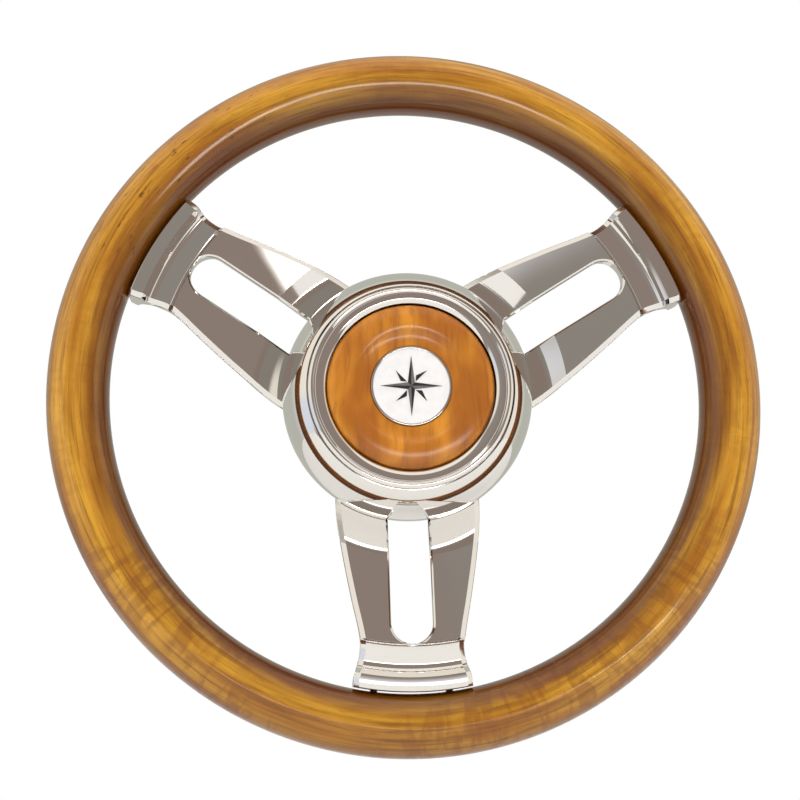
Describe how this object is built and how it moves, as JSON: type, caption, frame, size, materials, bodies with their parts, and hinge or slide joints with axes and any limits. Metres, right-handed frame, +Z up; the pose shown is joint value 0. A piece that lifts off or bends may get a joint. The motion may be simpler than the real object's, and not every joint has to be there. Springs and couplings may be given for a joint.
{
  "type": "boat steering wheel",
  "caption": "Wood-rimmed boat steering wheel with slotted chrome spokes, a domed hub with a wooden centre cap, and the short helm shaft and bearing that carry it.",
  "frame": {"origin": "on the steering axis, in the plane of the dash that the bearing housing is screwed to, at the end face of the helm shaft", "axes": "+Y along the shaft into the dash, so the helmsman looks along +Y; +X to the helmsman's right; +Z up, with one spoke pointing straight down"},
  "size_m": [0.35, 0.0846, 0.35],
  "materials": {
    "wood": "gloss clear lacquer",
    "chrome": "mirror polished",
    "fastener_steel": "machined stainless",
    "bronze": "machined bronze",
    "rubber": "matt black",
    "housing_plastic": "moulded black nylon",
    "medallion_enamel": "white face under clear resin",
    "rose_enamel": "gloss black"
  },
  "bodies": {
    "helm_bearing": {"bearing_housing": "housing_plastic", "shaft_bush": "bronze", "shaft_seal": "rubber", "dash_screw_1": "fastener_steel", "dash_screw_2": "fastener_steel", "dash_screw_3": "fastener_steel"},
    "wheel": {"rim_front_half": "wood", "rim_rear_half": "wood", "rim_core_ring": "fastener_steel", "spoke_bottom": "chrome", "foot_screw_bottom_1": "fastener_steel", "hub_screw_bottom_1": "fastener_steel", "foot_screw_bottom_2": "fastener_steel", "hub_screw_bottom_2": "fastener_steel", "spoke_upper_left": "chrome", "foot_screw_upper_left_1": "fastener_steel", "hub_screw_upper_left_1": "fastener_steel", "foot_screw_upper_left_2": "fastener_steel", "hub_screw_upper_left_2": "fastener_steel", "spoke_upper_right": "chrome", "foot_screw_upper_right_1": "fastener_steel", "hub_screw_upper_right_1": "fastener_steel", "foot_screw_upper_right_2": "fastener_steel", "hub_screw_upper_right_2": "fastener_steel", "hub_boss": "fastener_steel", "hub_dome": "chrome", "dome_screw_1": "fastener_steel", "dome_screw_2": "fastener_steel", "dome_screw_3": "fastener_steel", "helm_shaft": "fastener_steel", "drive_key": "fastener_steel", "thrust_washer": "bronze", "shaft_washer": "fastener_steel", "shaft_nut": "fastener_steel", "shaft_circlip": "fastener_steel"},
    "centre_cap": {"cap_bezel": "chrome", "cap_o_ring": "rubber", "cap_wood_insert": "wood", "medallion": "medallion_enamel", "compass_rose": "rose_enamel", "cap_backing_plate": "housing_plastic", "cap_snap_ring": "fastener_steel"}
  },
  "joints": [
    {"name": "wheel_spin", "type": "hinge", "parent": "helm_bearing", "child": "wheel", "pos_m": [0, -0.056, 0], "axis": [0, 1, 0], "continuous": true},
    {"name": "cap_pull", "type": "slide", "parent": "wheel", "child": "centre_cap", "axis": [0, -1, 0], "range_m": [0, 0.03]}
  ]
}
